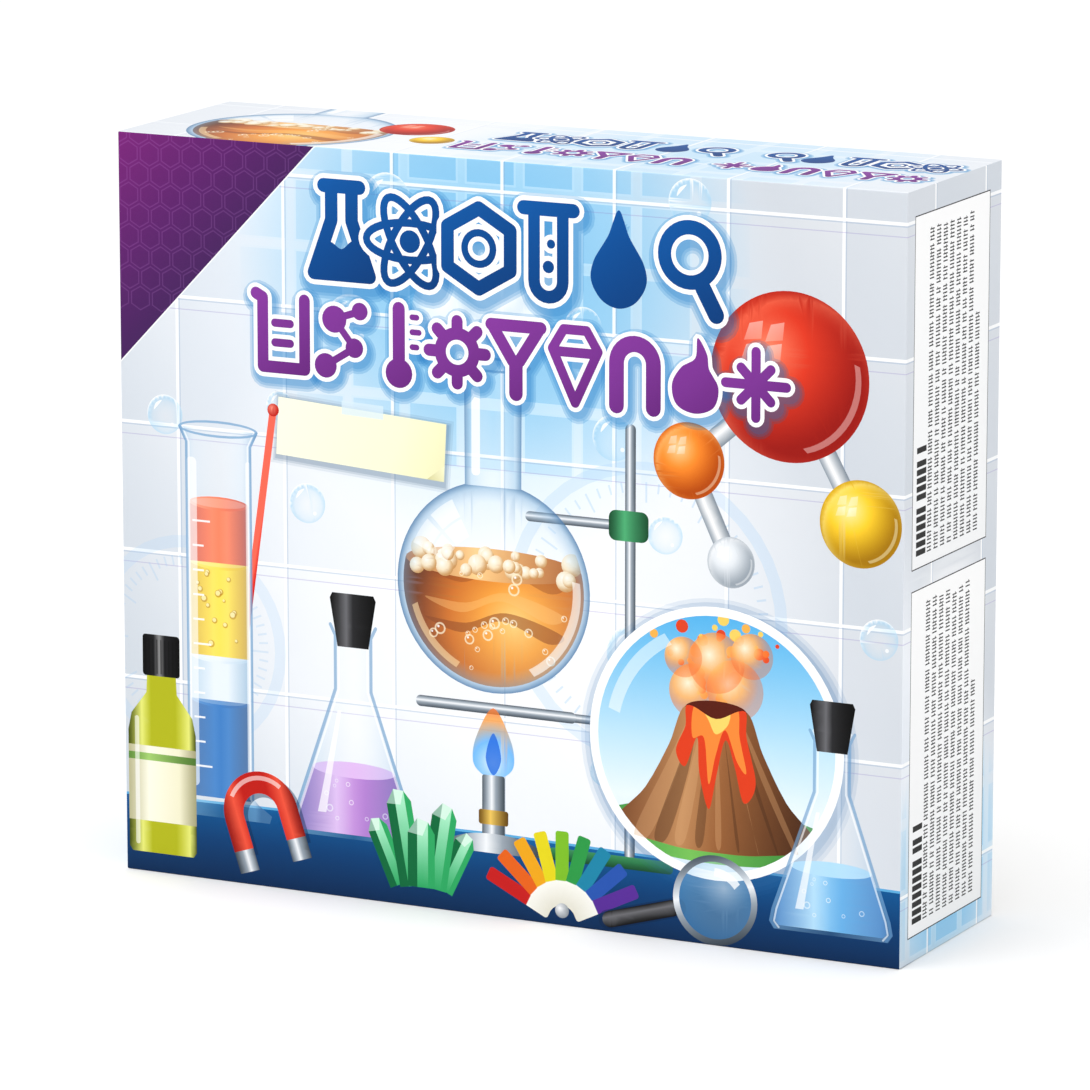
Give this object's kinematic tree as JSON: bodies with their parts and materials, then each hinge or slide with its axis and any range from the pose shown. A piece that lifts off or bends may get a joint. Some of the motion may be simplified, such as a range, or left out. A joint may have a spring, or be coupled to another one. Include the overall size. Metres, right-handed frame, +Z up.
{
  "type": "chemistry set case",
  "caption": "Telescoping board case with a printed lift-off lid, holding a formed tray of beginner's chemistry apparatus.",
  "frame": {"origin": "middle of the case's underside as it stands on its long edge", "axes": "+X to the right across the front panel, +Y from the front panel to the back panel, +Z up"},
  "size_m": [0.34, 0.09, 0.3],
  "materials": {
    "printed_board": "colour print on coated wrap paper over board, gloss film",
    "plain_board": "white coated wrap paper over grey board",
    "tray_plastic": "formed white polystyrene sheet, soft sheen",
    "cover_paper": "coated cover sheet, printed",
    "page_paper": "uncoated paper",
    "staple_wire": "zinc-plated wire",
    "blue_vinyl": "soft translucent blue vinyl",
    "clear_lens": "clear polycarbonate",
    "elastic": "woven elastic webbing",
    "clear_plastic": "clear moulded polystyrene",
    "white_foam": "polyethylene foam disc",
    "black_cap": "black polypropylene, fine ribs",
    "white_cap": "white polypropylene, fine ribs",
    "red_cap": "red polypropylene, fine ribs",
    "black_rubber": "matt black rubber",
    "jar_plastic": "natural polypropylene",
    "cream_powder": "fine loose powder",
    "pink_powder": "fine loose powder",
    "rack_red": "moulded red polystyrene",
    "white_plastic": "white polypropylene",
    "black_plastic": "black moulded plastic",
    "soft_clear": "cloudy soft polyethylene",
    "green_straw": "thin extruded plastic",
    "filter_paper": "soft unsized paper",
    "red_rubber": "thin stretchy latex",
    "strip_paper": "card folder with paper strips"
  },
  "bodies": {
    "base": {"base_shell": "plain_board", "tray": "tray_plastic", "booklet_cover": "cover_paper", "booklet_pages": "page_paper", "booklet_staples": "staple_wire", "goggle_frame": "blue_vinyl", "goggle_lens": "clear_lens", "goggle_vents": "white_plastic", "goggle_strap": "elastic", "strap_clips": "white_plastic", "test_tube_1": "clear_plastic", "test_tube_2": "clear_plastic", "test_tube_3": "clear_plastic", "flask": "clear_plastic", "beaker": "clear_plastic", "jar_1": "jar_plastic", "jar_powder_1": "cream_powder", "jar_2": "jar_plastic", "jar_powder_2": "pink_powder", "rack_top_shelf": "rack_red", "rack_bottom_shelf": "rack_red", "rack_end_left": "rack_red", "rack_end_right": "rack_red", "syringe_barrel": "clear_plastic", "petri_dish": "clear_plastic", "filter_papers": "filter_paper", "tweezers_heel": "black_plastic", "pipette": "soft_clear", "stirring_straws": "green_straw", "measuring_spoon": "white_plastic", "balloon": "red_rubber", "indicator_strips": "strip_paper"},
    "lid": {"lid_shell": "printed_board"},
    "tube_1_liner": {"tube_liner_1": "white_foam"},
    "tube_1_cap": {"tube_cap_1": "black_cap"},
    "tube_2_liner": {"tube_liner_2": "white_foam"},
    "tube_2_cap": {"tube_cap_2": "black_cap"},
    "tube_3_liner": {"tube_liner_3": "white_foam"},
    "tube_3_cap": {"tube_cap_3": "black_cap"},
    "jar_1_liner": {"jar_liner_1": "white_foam"},
    "jar_1_cap": {"jar_cap_1": "white_cap"},
    "jar_2_liner": {"jar_liner_2": "white_foam"},
    "jar_2_cap": {"jar_cap_2": "red_cap"},
    "stopper": {"flask_stopper": "black_rubber"},
    "plunger": {"syringe_plunger": "white_plastic", "syringe_seal": "black_rubber"},
    "petri_top": {"petri_cover": "clear_plastic"},
    "tweezers_1": {"tweezers_arm_1": "black_plastic"},
    "tweezers_2": {"tweezers_arm_2": "black_plastic"}
  },
  "joints": [
    {"name": "lid_slide", "type": "slide", "parent": "base", "child": "lid", "axis": [0, -1, 0], "range_m": [0, 0.12]},
    {"name": "tube_1_cap_rise", "type": "slide", "parent": "base", "child": "tube_1_liner", "axis": [0, 0, 1], "range_m": [0, 0.0038]},
    {"name": "tube_1_cap_turn", "type": "hinge", "parent": "tube_1_liner", "child": "tube_1_cap", "pos_m": [-0.146, -0.011, 0.27075], "axis": [0, 0, 1], "range_deg": [0, 450]},
    {"name": "tube_2_cap_rise", "type": "slide", "parent": "base", "child": "tube_2_liner", "axis": [0, 0, 1], "range_m": [0, 0.0038]},
    {"name": "tube_2_cap_turn", "type": "hinge", "parent": "tube_2_liner", "child": "tube_2_cap", "pos_m": [-0.122, -0.011, 0.27075], "axis": [0, 0, 1], "range_deg": [0, 450]},
    {"name": "tube_3_cap_rise", "type": "slide", "parent": "base", "child": "tube_3_liner", "axis": [0, 0, 1], "range_m": [0, 0.0038]},
    {"name": "tube_3_cap_turn", "type": "hinge", "parent": "tube_3_liner", "child": "tube_3_cap", "pos_m": [-0.098, -0.011, 0.27075], "axis": [0, 0, 1], "range_deg": [0, 450]},
    {"name": "jar_1_cap_rise", "type": "slide", "parent": "base", "child": "jar_1_liner", "axis": [0, -1, 0], "range_m": [0, 0.0038]},
    {"name": "jar_1_cap_turn", "type": "hinge", "parent": "jar_1_liner", "child": "jar_1_cap", "pos_m": [0.1363, -0.021, 0.2663], "axis": [0, -1, 0], "range_deg": [0, 450]},
    {"name": "jar_2_cap_rise", "type": "slide", "parent": "base", "child": "jar_2_liner", "axis": [0, -1, 0], "range_m": [0, 0.0038]},
    {"name": "jar_2_cap_turn", "type": "hinge", "parent": "jar_2_liner", "child": "jar_2_cap", "pos_m": [0.1363, -0.021, 0.2185], "axis": [0, -1, 0], "range_deg": [0, 450]},
    {"name": "stopper_pull", "type": "slide", "parent": "base", "child": "stopper", "axis": [0, 0, 1], "range_m": [0, 0.016]},
    {"name": "plunger_draw", "type": "slide", "parent": "base", "child": "plunger", "axis": [0, 0, 1], "range_m": [0, 0.058]},
    {"name": "petri_lift", "type": "slide", "parent": "base", "child": "petri_top", "axis": [0, -1, 0], "range_m": [0, 0.012]},
    {"name": "tweezers_squeeze_1", "type": "hinge", "parent": "base", "child": "tweezers_1", "pos_m": [0.0163, -0.015, 0.098], "axis": [0, 1, 0], "range_deg": [0, 3], "stiffness_Nm_per_rad": 0.2},
    {"name": "tweezers_squeeze_2", "type": "hinge", "parent": "base", "child": "tweezers_2", "pos_m": [0.0163, -0.015, 0.092], "axis": [0, -1, 0], "range_deg": [0, 3], "stiffness_Nm_per_rad": 0.2}
  ],
  "couplings": [
    {"joint": "tube_1_cap_rise", "follows": "tube_1_cap_turn", "m_per_rad": 0.00047746},
    {"joint": "tube_2_cap_rise", "follows": "tube_2_cap_turn", "m_per_rad": 0.00047746},
    {"joint": "tube_3_cap_rise", "follows": "tube_3_cap_turn", "m_per_rad": 0.00047746},
    {"joint": "jar_1_cap_rise", "follows": "jar_1_cap_turn", "m_per_rad": 0.00047746},
    {"joint": "jar_2_cap_rise", "follows": "jar_2_cap_turn", "m_per_rad": 0.00047746},
    {"joint": "tweezers_squeeze_2", "follows": "tweezers_squeeze_1", "ratio": 1}
  ]
}
